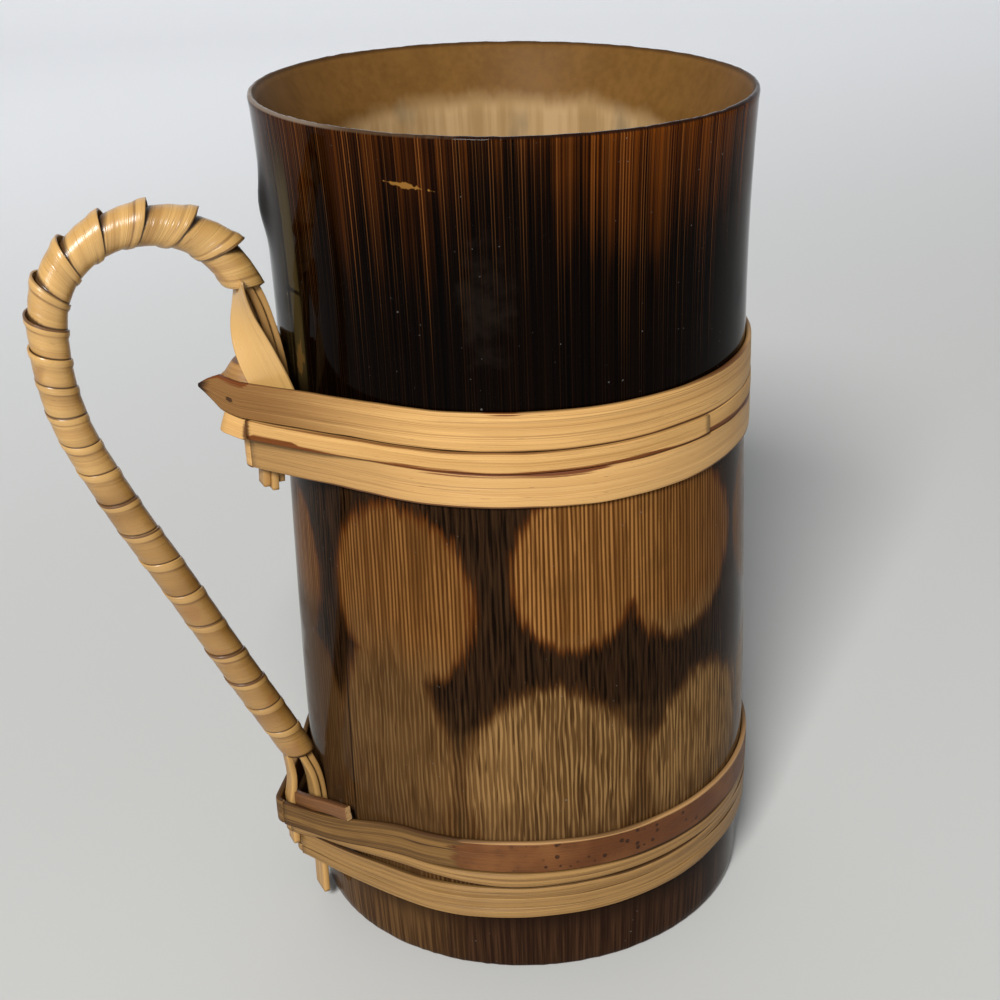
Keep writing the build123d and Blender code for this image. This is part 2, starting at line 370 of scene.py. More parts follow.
def weathered_foot(finish, place, side, z, streak):
    """Colour under the lower band: fine streaks of dark brown and dull tan, darkest right under the band."""
    fine = fibres(finish, place, 2400.0, 60.0, 2.0)
    grain = (fine * 0.7 + streak * 0.3).step(0.38, 0.68)
    dark_side = finish.blend(grain, (0.016, 0.0068, 0.0034), (0.048, 0.0215, 0.01))
    pale_side = finish.blend(grain, (0.04, 0.018, 0.0066), (0.108, 0.054, 0.019))
    foot = finish.blend((side + (streak - 0.5) * 0.4).step(-0.6, -0.84), dark_side, pale_side)
    shadow = (z + (fine - 0.5) * 0.006).step(0.0065, 0.012) * 0.7
    return finish.blend(shadow, foot, (0.007, 0.0036, 0.0022))


def scraped_places(finish, place, arc, z):
    """How far each place is scraped bare, 0 to 1."""
    torn = fibres(finish, place, 1500.0, 500.0, 1.0)
    bare = None
    for turn, height, slope, half_length, half_width, bareness in SCRAPES:
        across = (arc - math.radians(turn)) * (GRAIN_RADIUS * MM)
        up = z - height * MM
        size = math.hypot(1, slope)
        run = (across + up * slope) / (size * half_length * MM)
        side = (up - across * slope) / (size * half_width * MM)
        inside = abs(run) + abs(side) + (torn - 0.5) * 1.7
        scrape = inside.step(1.0, 0.7) * bareness
        bare = scrape if bare is None else bare.math("MAXIMUM", scrape)
    return bare


def make_lacquered_culm():
    """Outside of the culm: burnt almost black under thin lacquer, with tan spots between the bands."""
    finish = Finish("lacquered_burnt_bamboo", Coat_Roughness=0.06, Coat_IOR=1.1, Specular_IOR_Level=0.0)
    place = finish.place()
    x, y, z = finish.axes(place)
    arc = x.math("ARCTAN2", 0.0 - y)
    to_grain = GRAIN_RADIUS * MM / (x * x + y * y) ** 0.5
    place = finish.pack(x * to_grain, y * to_grain, z)
    side = arc.math("SINE")
    streak = fibres(finish, place, 900.0, 6.0)

    middle, spot = burnt_middle(finish, place, arc, side, z, streak)
    top = charred_top(finish, place, arc, side, z, streak)
    foot = weathered_foot(finish, place, side, z, streak)

    olive = arc.step(-1.61, -1.54) * arc.step(-1.38, -1.44) * z.step(0.096, 0.104)
    olive = olive * z.step(0.139, 0.128) * streak.step(0.3, 0.6)
    scar = ((arc + 1.6) / 0.1) ** 2.0 + ((z - 0.1245) / 0.0052) ** 2.0 + (streak - 0.5) * 1.2
    crack = abs(z - 0.114) + (streak - 0.5) * 0.0012
    crack = crack.step(0.0007, 0.0002) * arc.step(-1.37, -1.43) * arc.step(-1.9, -1.7)
    split = abs(arc + 1.283 - z * 0.3) + (streak - 0.5) * 0.012
    split = split.step(0.0085, 0.0025) * z.step(0.067, 0.06) * z.step(0.022, 0.03)
    bare = scraped_places(finish, place, arc, z)
    dusty = finish.cloud(place, 90.0, 1.0).step(0.45, 0.6)
    specks = finish.cloud(place, 1500.0, 1.0).step(0.765, 0.8) * dusty
    haze = ((arc + 0.53) / 0.1) ** 2.0 + ((z - 0.1165) / 0.009) ** 2.0
    haze = (haze + (finish.cloud(place, 420.0, 3.0) - 0.5) * 4.0).step(1.5, -0.8)
    lip = (z + x * math.tan(RIM_SLANT)).step(0.1395, 0.13985)
    brown_lip = (side + (streak - 0.5) * 0.5).step(-0.48, -0.78)
    lip_tone = finish.blend(brown_lip, (0.012, 0.005, 0.003), (0.06, 0.034, 0.018))
    lip_tone = finish.blend(side.step(-0.84, -0.96), lip_tone, (0.17, 0.125, 0.09))
    colour = finish.layer(
        finish.blend(z.step(0.0925, 0.0955), middle, top),
        (z.step(0.0165, 0.0125), foot),
        (olive * 0.85, (0.05, 0.034, 0.011)),
        (scar.step(1.1, 0.7) * 0.8, (0.006, 0.003, 0.0015)),
        (crack * 0.9, (0.004, 0.002, 0.001)),
        (split * 0.9, (0.012, 0.005, 0.002)),
        (bare, (0.225, 0.104, 0.021)),
        (specks * 0.3, (0.26, 0.25, 0.23)),
        (haze * 0.14, (0.04, 0.027, 0.019)),
        (lip * 0.9, lip_tone),
    )

    wear = finish.cloud(place, 130.0, 2.0)
    coat = 1.0 - spot * 0.3 - wear.step(0.5, 0.8) * 0.2
    finish.paint(Base_Color=colour, Roughness=0.4 + (wear - 0.5) * 0.2, Coat_Weight=coat)
    finish.emboss(streak, 0.00012, 0.4)
    return finish.material


def make_scraped_inside():
    """Inside of the culm: brown scraped bevel over a paler natural wall with stains."""
    finish = Finish("scraped_inside", Specular_IOR_Level=0.05)
    place = finish.place()
    x, y, z = finish.axes(place)
    broad = fibres(finish, place, 260.0, 5.0)
    fine = fibres(finish, place, 900.0, 14.0)
    stains = finish.cloud(finish.stretch(place, (150.0, 150.0, 60.0)), 1.0, 3.0)
    mottle = finish.cloud(place, 800.0, 3.0)
    slant = z + x * math.tan(RIM_SLANT)
    to_back = (x * 12.4 + y * 26.7).step(0.35, 0.98)
    deeper = slant + (1.0 - to_back) * 0.0034 + (broad - 0.5) * 0.0034 + (fine - 0.5) * 0.0016
    scraped = deeper.step(0.1291, 0.1331)
    wall_grain = (broad * 0.6 + fine * 0.4).step(0.38, 0.64)
    wall = finish.layer(
        finish.blend(wall_grain, (0.3, 0.185, 0.078), (0.42, 0.275, 0.132)),
        (stains.step(0.56, 0.7) * 0.5, (0.19, 0.145, 0.085)),
        (z.step(0.07, 0.012) * 0.35, (0.2, 0.125, 0.055)),
    )
    bevel_grain = (mottle * 0.5 + broad * 0.5).step(0.3, 0.7)
    bevel = finish.layer(
        finish.blend(bevel_grain, (0.122, 0.056, 0.013), (0.156, 0.0745, 0.0185)),
        (stains.step(0.58, 0.8) * 0.2, (0.1, 0.05, 0.016)),
        (slant.step(0.1393, 0.1399) * 0.7, (0.03, 0.014, 0.006)),
    )
    colour = finish.blend(scraped, wall, bevel)
    rough = 0.62 - scraped * 0.14 + (mottle - 0.5) * 0.15
    finish.paint(Base_Color=colour, Roughness=rough)
    finish.emboss(broad * 0.5 + fine * 0.3 + mottle * 0.2, 0.00025, 0.35)
    return finish.material


def make_sawn_end():
    """Sawn lower end: end grain of the ring and the node wall inside it."""
    finish = Finish("sawn_end")
    place = finish.place()
    x, y, _ = finish.axes(place)
    radius = (x * x + y * y) ** 0.5
    bundles = finish.cloud(place, 900.0, 1.0)
    tone = finish.cloud(place, 60.0, 3.0)
    ring = radius.step(0.0318, 0.0326)
    grain = finish.blend(bundles.step(0.45, 0.65), (0.36, 0.215, 0.095), (0.15, 0.075, 0.03))
    node_wall = finish.blend(tone, (0.3, 0.19, 0.09), (0.44, 0.3, 0.15))
    colour = finish.blend(ring, node_wall, grain)
    colour = finish.blend(radius.step(0.0365, 0.0379) * 0.7, colour, (0.05, 0.025, 0.012))
    finish.paint(Base_Color=colour, Roughness=0.7 + (tone - 0.5) * 0.2)
    finish.emboss(bundles, 0.0002, 0.4)
    return finish.material


def make_rattan(name, pale, deep, edge, **ways):
    """Split rattan with long grain lines, pores, torn patches and dark rough edges.

    The ways:
    gloss, rough, grooved, lines - strength of the shine, roughness, relief and grain lines
    edge_from - where the dark edge starts, in shares of the half width
    dulled, browned - length in metres at the strip's start: over the first the colour is darkened as painted
    shade, the second with a burnt tip and a knot skin_from - length in metres after which the skin is left on
    golden - colour of the darker turns of a winding
    remains - edge that keeps bark (1 upper, -1 lower), and the tone over which there is some
    burnt_end - place seen from above, in metres, of a burnt end darkened further with painted shade
    """
    finish = Finish(name, Specular_IOR_Level=ways.get("gloss", 0.3))
    along = finish.attribute("along")
    across = finish.attribute("across")
    seed = finish.attribute("seed")
    place = finish.place()

    def grain(run, cross, shift=0.0, detail=1.0):
        return finish.cloud(finish.pack(along * run, across * cross, seed + shift), 1.0, detail)

    broad = grain(14.0, 2.4, 0.0, 2.0)
    lines = abs(grain(9.0, 4.6, 3.0) - 0.5).step(0.03, 0.0)
    hair = grain(45.0, 26.0, 0.0, 2.0)
    grooves = grain(8.0, 30.0, 5.0)
    pores = grain(330.0, 16.0)
    rough_edge = grain(19.0, 0.9, 9.0).step(0.46, 0.62)
    torn = grain(24.0, 1.3, 17.0, 2.0) + (hair - 0.5) * 0.1
    tone = finish.cloud(place, 110.0, 2.0)
    colour = finish.layer(
        finish.blend((broad * 0.6 + hair * 0.4).step(0.3, 0.66), deep, pale),
        (torn.step(0.535, 0.55) * 0.3, lighter(pale, 1.18)),
        (lines * ways.get("lines", 0.3), edge),
        (pores.step(0.72, 0.78) * 0.6, edge),
        (tone.step(0.5, 0.8) * 0.3, deep),
    )
    # Painted shade: the strip's first length, from its front end by the handle, is darkened where the light
    # is taken to fall off.
    if "dulled" in ways:
        colour = finish.blend(along.step(ways["dulled"], 0.0) * 0.75, colour, lighter(deep, 0.6))
    if "golden" in ways:
        colour = wound_turns(finish, colour, pale, ways["golden"])
    if "skin_from" in ways:
        skin = rattan_skin(finish, place, tone, hair, broad, across)
        worn = along + (broad - 0.5) * 0.006 + (hair - 0.5) * 0.006
        bark = worn.step(ways["skin_from"], ways["skin_from"] + 0.0012)
        off_nose = finish.axes(place)[0].step(-0.0425, -0.0405)
        colour = finish.blend(bark * off_nose, colour, skin)
    if "browned" in ways:
        browned = (along + (broad - 0.5) * 0.02).step(ways["browned"], ways["browned"] * 0.2)
        colour = finish.blend(browned * 0.85, colour, (0.15, 0.064, 0.0175))
        charred = (along + (pores - 0.5) * 0.004).step(0.0022, 0.0006)
        colour = finish.blend(charred, colour, (0.02, 0.009, 0.005))
        knot = ((along - 0.0056) / 0.0007) ** 2.0 + ((across + 0.13) / 0.15) ** 2.0 + (hair - 0.5) * 1.5
        colour = finish.blend(knot.step(1.1, 0.6) * 0.9, colour, (0.03, 0.011, 0.004))
    ragged = abs(across) + (hair - 0.5) * 0.12 + rough_edge * 0.1
    edge_from = ways.get("edge_from", 0.965)
    dark_edge = ragged.step(edge_from, edge_from + 0.035) * (0.3 + rough_edge * 0.6)
    colour = finish.blend(dark_edge, colour, edge)
    if "remains" in ways:
        side, amount = ways["remains"]
        patch = grain(34.0, 0.0, 23.0, 2.0)
        patch = patch + along.step(0.0095, 0.008) * along.step(0.0004, 0.0014) * 0.12
        bark_left = (across * side + (hair - 0.5) * 0.6 + (patch - amount) * 2.2).step(0.9, 0.99)
        colour = finish.blend(bark_left * 0.95, colour, (0.125, 0.03, 0.0044))
    # A burnt cut end of a strip, darkened further with painted shade of the gap beside it.
    if "burnt_end" in ways:
        x, y, _ = finish.axes(place)
        end_x, end_y = ways["burnt_end"]
        away = ((x - end_x) ** 2.0 + (y - end_y) ** 2.0) ** 0.5 + (hair - 0.5) * 0.001
        colour = finish.blend(away.step(0.0009, 0.0004) * 0.9, colour, (0.07, 0.021, 0.005))
    finish.paint(Base_Color=colour, Roughness=ways.get("rough", 0.46) + (tone - 0.5) * 0.2)
    relief = broad * 0.3 + hair * 0.3 + grooves * 0.5 + torn.step(0.53, 0.56) * 0.3 - lines * 0.4
    finish.emboss(relief, 0.00025, ways.get("grooved", 0.45))
    return finish.material


def make_cut_end():
    """Knife-cut end of a strip: pale with dark pores."""
    finish = Finish("cut_rattan", Specular_IOR_Level=0.2)
    place = finish.place()
    pores = finish.cloud(place, 2600.0, 1.0)
    tone = finish.cloud(place, 300.0, 2.0)
    colour = finish.blend(tone, (0.3, 0.165, 0.062), (0.52, 0.315, 0.135))
    colour = finish.blend(pores.step(0.55, 0.68) * 0.7, colour, (0.07, 0.03, 0.01))
    finish.paint(Base_Color=colour, Roughness=0.7 + (tone - 0.5) * 0.2)
    finish.emboss(pores, 0.0001, 0.4)
    return finish.material


def lighter(colour, factor):
    """A colour with its light multiplied."""
    return tuple(channel * factor for channel in colour)


def wound_turns(finish, colour, pale, golden):
    """Winding: turns darker low down and at random, pale lips with painted shadow lines, painted seam shadows
    and a paler first end.
    """
    place = finish.place()
    seed = finish.attribute("seed")
    along = finish.attribute("along")
    across = finish.attribute("across")
    z = finish.axes(place)[2]
    tone = finish.cloud(place, 110.0, 2.0)
    turn_tone = finish.cloud(finish.pack(seed * 4.3, across * 0.3, along * 20.0), 1.0, 1.0)
    darker = (z + (tone - 0.5) * 0.04).step(0.106, 0.07) * 0.72
    darker = darker + turn_tone.step(0.45, 0.7) * 0.6
    browner = finish.cloud(place, 150.0, 1.0).step(0.6, 0.7)
    # Painted shadow: a thin dark line just under each turn's raised lip.
    lip_shadow = abs(across + 0.6).step(0.08, 0.02)
    # Painted shadow cast into each seam by the next turn's standing-off edge.
    seam_shadow = finish.attribute("shadow").step(0.0, 0.75)
    return finish.layer(
        colour,
        (darker, golden),
        (browner * 0.5, (0.24, 0.095, 0.022)),
        (across.step(-0.6, -0.7) * 0.45, lighter(pale, 1.05)),
        (lip_shadow * tone.step(0.35, 0.6) * 0.6, (0.12, 0.052, 0.014)),
        (seed.step(LEAD_SEED - 5, LEAD_SEED - 4) * 0.75, pale),
        (seam_shadow * 0.92, (0.034, 0.0125, 0.004)),
    )


def rattan_skin(finish, place, tone, hair, broad, across):
    """Red-brown outer skin with clusters of small dark dots and a pale upper edge."""
    dots = finish.node("ShaderNodeTexVoronoi", inputs={"Vector": place, "Scale": 620.0}, output="Distance")
    clusters = finish.cloud(place, 80.0, 1.0).step(0.36, 0.52)
    mottle = finish.cloud(place, 500.0, 2.0)
    return finish.layer(
        finish.blend(tone.step(0.35, 0.7), (0.1, 0.0315, 0.0082), (0.17, 0.065, 0.018)),
        ((hair * 0.6 + mottle * 0.4).step(0.5, 0.66) * 0.6, (0.058, 0.02, 0.006)),
        (dots.step(0.3, 0.2) * clusters * 0.85, (0.022, 0.0075, 0.003)),
        ((across + (broad - 0.5) * 0.25).step(0.8, 0.88), (0.4, 0.22, 0.085)),
    )


def as_object(name, mesh, materials):
    """Turn a finished bmesh into a smooth object of the scene."""
    data = bpy.data.meshes.new(name)
    mesh.to_mesh(data)
    mesh.free()
    for material in materials:
        data.materials.append(material)
    for face in data.polygons:
        face.use_smooth = True
    piece = bpy.data.objects.new(name, data)
    bpy.context.scene.collection.objects.link(piece)
    return piece


def hold(name, mesh, materials, slot, *nodes):
    """Turn a finished bmesh into a piece that rides on the cup and stands for CAD nodes."""
    piece = as_object(name, mesh, materials)
    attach(piece, "root")
    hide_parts(*nodes)
    return piece


def culm_profile():
    """Half outline of the culm from the axis under the base, round the rim, to the axis on the floor."""
    outline = [(0.0, BASE_RECESS), (BASE_RADIUS - FOOT_RING, BASE_RECESS)]
    outline += [(BASE_RADIUS - FOOT_RING, 0.3), (BASE_RADIUS - FOOT_RING + 0.3, 0.0)]
    outline += [(BASE_RADIUS - 0.5, 0.0), (BASE_RADIUS - 0.15, 0.12)]
    outline += [(culm_radius(z), z) for z in [0.5 + 1.5 * i for i in range(93)]]
    top = culm_radius(CUP_HEIGHT)
    outline += [(top, CUP_HEIGHT - 0.6), (top - 0.12, CUP_HEIGHT - 0.15), (top - 0.4, CUP_HEIGHT)]
    outline += [(top - RIM_LIP + 0.25, CUP_HEIGHT), (top - RIM_LIP, CUP_HEIGHT - 0.2)]
    bevel_end = CUP_HEIGHT - BEVEL_DEPTH
    for i in range(1, 9):
        t = i / 8
        radius = (top - RIM_LIP) * (1 - t) + (culm_radius(bevel_end) - WALL) * t
        outline.append((radius, (CUP_HEIGHT - 0.2) * (1 - t) + bevel_end * t))
    low_end = FLOOR_HEIGHT + FLOOR_FILLET
    for i in range(1, 41):
        z = bevel_end + (low_end - bevel_end) * i / 40
        outline.append((culm_radius(z) - WALL, z))
    corner = culm_radius(low_end) - WALL - FLOOR_FILLET
    for i in range(1, 7):
        turn = math.pi / 2 * i / 6
        outline.append((corner + FLOOR_FILLET * math.cos(turn), low_end - FLOOR_FILLET * math.sin(turn)))
    outline += [(corner * 0.6, FLOOR_HEIGHT), (0.0, FLOOR_HEIGHT)]
    return outline


def make_culm():
    """The cup's body: a spun outline with a slanted, slightly rough rim and a bud scar by the handle."""
    mesh = bmesh.new()
    outline = [mesh.verts.new((radius, 0.0, z)) for radius, z in culm_profile()]
    edges = [mesh.edges.new(pair) for pair in zip(outline, outline[1:])]
    bmesh.ops.spin(
        mesh,
        geom=outline + edges,
        cent=(0, 0, 0),
        axis=(0, 0, 1),
        angle=2 * math.pi,
        steps=CULM_STEPS,
        use_merge=True,
    )
    bmesh.ops.remove_doubles(mesh, verts=mesh.verts, dist=1e-4)
    bmesh.ops.recalc_face_normals(mesh, faces=mesh.faces)
    for face in mesh.faces:
        middle = face.calc_center_median()
        radius = math.hypot(middle.x, middle.y)
        inside = radius < culm_radius(min(max(middle.z, 0), CUP_HEIGHT)) - 0.05
        if middle.z < BASE_RECESS + 0.01 and face.normal.z < -0.5:
            face.material_index = 2
        elif inside and middle.z > BASE_RECESS and middle.z < CUP_HEIGHT - 0.1:
            face.material_index = 1
    for vert in mesh.verts:
        radius = math.hypot(vert.co.x, vert.co.y)
        if radius < 1.0:
            continue
        turn = math.atan2(vert.co.y, vert.co.x)
        z = vert.co.z
        outer = radius > culm_radius(min(max(z, 0), CUP_HEIGHT)) - 0.6
        grow = 0.0
        if outer:
            bud_across = (turn - BUD_TURN) * radius
            bud_up = z - BUD_HEIGHT
            grow += 1.1 * math.exp(-((bud_across / 3.2) ** 2) - (bud_up / 4.5) ** 2)
            grow -= 0.9 * math.exp(-(((bud_across + 1.5) / 1.3) ** 2) - ((bud_up - 1.0) / 3.0) ** 2)
        lift = -math.tan(RIM_SLANT) * vert.co.x * ease(SLANT_FROM, CUP_HEIGHT, z)
        rough = 0.1 * wander(2.5 * math.cos(turn) + 1.5 * math.sin(turn), 1.0)
        rough += 0.05 * wander(turn * 26.0, 2.0)
        lift += rough * ease(CUP_HEIGHT - 2.5, CUP_HEIGHT, z)
        if outer:
            lift += 0.16 * abs(wander(turn * 17.0, 7.0)) * ease(1.5, 0.0, z)
        scale = (radius + grow) / radius
        vert.co = Vector((vert.co.x * scale, vert.co.y * scale, z + lift))
    bmesh.ops.scale(mesh, vec=(MM, MM, MM), verts=mesh.verts)
    materials = [make_lacquered_culm(), make_scraped_inside(), make_sawn_end()]
    return hold("culm", mesh, materials, "bamboo", "cup_culm")


# Outline of a split strip: share of the width, share of the thickness
STRIP_OUTLINE = [
    (-0.5, 0.12), (-0.5, 0.86), (-0.485, 0.96), (-0.44, 1.0), (-0.15, 1.03), (0.15, 1.03), (0.44, 1.0),
    (0.485, 0.96), (0.5, 0.86), (0.5, 0.12), (0.45, 0.0), (0.0, 0.0), (-0.45, 0.0),
]


def bend_grid(mesh, outline, rows, lay):
    """Bend a flat grid into a closed strip; lay says where an outline point of a row goes, and its marks."""
    ring = len(outline)
    kept = mesh.verts.layers.float
    layers = {name: kept.get(name) or kept.new(name) for name in ("along", "across", "seed", "shadow")}
    bmesh.ops.create_grid(mesh, x_segments=ring, y_segments=rows - 1, size=0.5)
    grid = [vert for vert in mesh.verts if not vert.tag]
    for vert in grid:
        row = round((vert.co.y + 0.5) * (rows - 1))
        share, depth = outline[round((vert.co.x + 0.5) * ring) % ring]
        vert.co, marks = lay(row, share, depth)
        for name, value in marks.items():
            vert[layers[name]] = value
        vert.tag = True
    bmesh.ops.remove_doubles(mesh, verts=grid, dist=1e-5)
    bmesh.ops.holes_fill(mesh, edges=[edge for edge in mesh.edges if edge.is_boundary], sides=0)


def lay_strip(mesh, stations, seed):
    """Lay a strip on stations, each with a middle, a width way, an outward way, width and thickness."""
    lengths = [0.0]
    for before, after in zip(stations, stations[1:]):
        lengths.append(lengths[-1] + (after[0] - before[0]).length)

    def lay(row, share, depth):
        middle, wide, out, width, thickness = stations[row]
        marks = {"along": lengths[row] * MM, "across": 2 * share, "seed": seed}
        return middle + wide * (share * width) + out * (depth * thickness), marks

    bend_grid(mesh, STRIP_OUTLINE, len(stations), lay)


def finish_strip(name, mesh, material, slot, *nodes):
    """Scale a laid strip to metres, turn its faces outwards and hold it."""
    bmesh.ops.recalc_face_normals(mesh, faces=mesh.faces)
    bmesh.ops.scale(mesh, vec=(MM, MM, MM), verts=mesh.verts)
    cut_end = bpy.data.materials.get("cut_rattan") or make_cut_end()
    piece = hold(name, mesh, [material, cut_end], slot, *nodes)
    for face in piece.data.polygons:
        if len(face.vertices) > 4:
            face.use_smooth = False
            face.material_index = 1
    return piece


def loop_points(inner, nose_reach, tip, nose_share, lap):
    """Band from above: points and outward ways from its front end, round the cup, to the nose and past it."""
    nose = inner + nose_reach - BAND_THICKNESS - NOSE_RADIUS
    leave = math.acos((inner - NOSE_RADIUS) / nose)
    front = Vector((-math.cos(leave), -math.sin(leave), 0))
    leading = Vector((-math.sin(leave), math.cos(leave), 0))
    back = Vector((-math.cos(leave), math.sin(leave), 0))
    nose_centre = Vector((-nose, 0, 0))
    front_nose = nose_centre + front * NOSE_RADIUS
    places = []
    begin = front_nose + leading * tip
    run = (front * inner - begin).length
    count = max(int(run / BAND_STEP), 2)
    for i in range(count):
        places.append((begin.lerp(front * inner, i / count), front))
    first = math.atan2(front.y, front.x)
    sweep = 2 * math.pi - 2 * leave
    count = int(sweep * inner / BAND_STEP)
    for i in range(count + 1):
        way = Vector((math.cos(first + sweep * i / count), math.sin(first + sweep * i / count), 0))
        places.append((way * inner, way))
    back_nose = nose_centre + back * NOSE_RADIUS
    count = max(int((back_nose - back * inner).length / BAND_STEP), 2)
    for i in range(1, count + 1):
        places.append(((back * inner).lerp(back_nose, i / count), back))
    turn = 2 * leave * nose_share
    for i in range(1, 9 if nose_share else 0):
        way = Matrix.Rotation(turn * i / 8, 3, "Z") @ back
        places.append((nose_centre + way * NOSE_RADIUS, way))
    for i in range(1, 5 if lap else 0):
        places.append((front_nose - leading * (lap * i / 4), front))
    return places


def make_band_strip(name, node, low, high, nose_reach, material, slot, seed, **ways):
    """One strip of a band between its low and high edge.

    The ways:
    low_slope, high_slope - rise of its edges towards +X
    tip, tip_rise - length past the nose at the front end, less than 0 starts short of it, and its rise
    nose_share - share of the nose that the back end goes round
    lap, lap_rise, lap_drop, lap_lean - length of the back end past the nose, and how that lies
    ribs - how many ribs it is split into
    dip, drawn - fall of its height by the handle, and rise of its low and high edge there
    narrowed - rise of its low edge in front
    lapped - turn in degrees from the handle up to which a second layer lies on its front
    """
    inner = max(culm_radius(low), culm_radius(high)) + SEAT
    tip = ways.get("tip", -0.15)
    lap = ways.get("lap", 0.0)
    ribs = ways.get("ribs", 1)
    low_rise, high_rise = ways.get("drawn", (0.0, 0.0))
    mesh = bmesh.new()
    places = loop_points(inner, nose_reach, tip, ways.get("nose_share", 1.0), lap)
    total = sum((b[0] - a[0]).length for a, b in zip(places, places[1:]))
    for rib in range(ribs):
        stations = []
        layer = []
        travelled = 0.0
        previous = places[0][0]
        for point, way in places:
            travelled += (point - previous).length
            previous = point
            turn = math.degrees(math.atan2(abs(point.y), -point.x))
            by_handle = ease(40.0, 0.0, turn) * ease(14.0, 1.0, point.y)
            low_edge = low + ways.get("low_slope", 0.0) * point.x + low_rise * by_handle
            high_edge = high + ways.get("high_slope", 0.0) * point.x + high_rise * by_handle
            if point.y < 0:
                low_edge += ways.get("narrowed", 0.0) * ease(62.0, 34.0, turn) * ease(2.0, 10.0, turn)
            rib_width = (high_edge - low_edge) / ribs
            height = low_edge + rib_width * (rib + 0.5)
            height += 0.1 * wander(travelled * 0.035, seed) + 0.04 * wander(travelled * 0.2, seed + rib + 5)
            width = rib_width + 0.12 * wander(travelled * 0.11, seed + rib + 9)
            if tip > 0:
                width *= min(0.1 + travelled / 4.2, 1.0)
            height += ways.get("tip_rise", 0.0) * ease(8.0, 0.0, travelled)
            if lap:
                height += ways["lap_rise"] * ease(total - lap - 3.5, total - lap - 1.0, travelled)
                height -= ways["lap_drop"] * ease(total - lap - 1.5, total, travelled)
            height -= ways.get("dip", 0.0) * ease(36.0, 9.0, turn)
            thickness = LAID_THICKNESS + 0.1 * wander(travelled * 0.08, seed + rib + 13)
            centre = Vector((point.x, point.y, height))
            wide = Vector((0, 0, 1))
            if lap:
                lean = ways["lap_lean"] * ease(total - lap - 3.5, total - lap - 1.5, travelled)
                wide = (wide - way * lean).normalized()
            stations.append((centre, wide, way, width, thickness))
            if point.y < 0 and travelled < total / 2 and turn < ways.get("lapped", 0.0):
                layer.append((centre + way * (thickness - 0.1), Vector((0, 0, 1)), way, width - 0.06, 0.4))
        lay_strip(mesh, stations, seed + rib * 1.7)
        if layer:
            lay_strip(mesh, layer, seed + 0.6)
    return finish_strip(name, mesh, material, slot, node)


# Handle's middle line: distance from the cup's axis, and height
HANDLE_LINE = [
    (43.0, 81.0), (42.6, 86.0), (41.2, 92.0), (40.6, 98.0), (41.2, 104.0), (43.0, 112.0), (45.6, 117.6),
    (48.9, 121.9), (52.8, 124.6), (57.5, 126.0), (62.7, 125.9), (67.5, 124.1), (71.3, 120.7), (73.5, 116.0),
    (74.1, 109.6), (73.7, 102.9), (72.0, 95.8), (69.0, 88.2), (65.0, 79.0), (60.4, 69.4), (55.9, 59.4),
    (51.6, 50.0), (47.8, 42.0), (44.5, 34.8), (42.7, 30.6), (41.4, 26.8), (40.9, 22.0),
    (40.9, 12.0), (40.9, 2.5),
]

# Outline of the wound strip: share of the width from its upper edge, share of the thickness
WRAP_OUTLINE = [
    (0.0, 0.1), (0.0, 0.9), (0.012, 1.0), (0.14, 1.0), (0.26, 1.0), (0.5, 1.1), (0.8, 1.04), (0.9, 0.86),
    (1.0, 0.7), (1.0, 0.1), (0.97, 0.0), (0.5, 0.0), (0.26, 0.0), (0.14, 0.0), (0.02, 0.0),
]

# First end of the wound strip: distance from the cup's axis, height, and place sideways
WRAP_LEAD = [
    (45.3, 116.5, -1.4), (45.4, 113.0, -1.8), (45.4, 110.0, -2.3), (45.0, 107.0, -3.0),
    (44.1, 103.5, -3.9), (42.9, 100.0, -4.6), (41.5, 95.5, -5.1),
]

# Lock strips: points of their middle lines on the inner face
UPPER_LOCK = [
    (-37.4, 13.2, 101.0), (-43.0, 6.8, 101.2), (-46.4, 2.4, 101.5),
    (-46.9, 0.7, 101.5), (-46.2, -0.7, 101.3), (-44.4, -2.0, 100.7),
]
LOWER_LOCK = [
    (-43.8, 3.2, 21.8), (-44.0, -0.6, 23.0), (-43.2, -3.8, 23.8), (-41.0, -8.2, 24.7), (-38.9, -13.0, 25.5),
]


def smooth_line(points, spacing=0.8):
    """Evenly spaced points on a smooth curve through the given ones."""
    dense = []
    ends = [2 * points[0] - points[1], *points, 2 * points[-1] - points[-2]]
    for a, b, c, d in zip(ends, ends[1:], ends[2:], ends[3:]):
        for i in range(24):
            t = i / 24
            bend = 2 * a - 5 * b + 4 * c - d
            swing = 3 * b - a - 3 * c + d
            dense.append(0.5 * (2 * b + (c - a) * t + bend * t * t + swing * t**3))
    dense.append(points[-1])
    total = sum((b - a).length for a, b in zip(dense, dense[1:]))
    count = max(int(total / spacing), 2)
    even = [dense[0]]
    travelled = 0.0
    for a, b in zip(dense, dense[1:]):
        length = (b - a).length
        while length and travelled + length >= total * len(even) / count and len(even) < count:
            even.append(a.lerp(b, (total * len(even) / count - travelled) / length))
        travelled += length
    even.append(dense[-1])
    return even


def in_plane(reach, height, side=0.0):
    """A point from its distance to the cup's axis, its height and its sideways place."""
    return Vector((-reach, side, height))


def handle_line():
    """The handle's middle line, evenly spaced."""
    return smooth_line([in_plane(*point) for point in HANDLE_LINE], 0.5)


def headings(points):
    """Way ahead at each point of a line."""
    behind = points[:1] + points[:-1]
    ahead = points[1:] + points[-1:]
    return [(b - a).normalized() for a, b in zip(behind, ahead)]


def outside(heading):
    """Way to the hook's outside, square to a heading in the handle's plane."""
    return Vector((heading.z, 0, -heading.x))


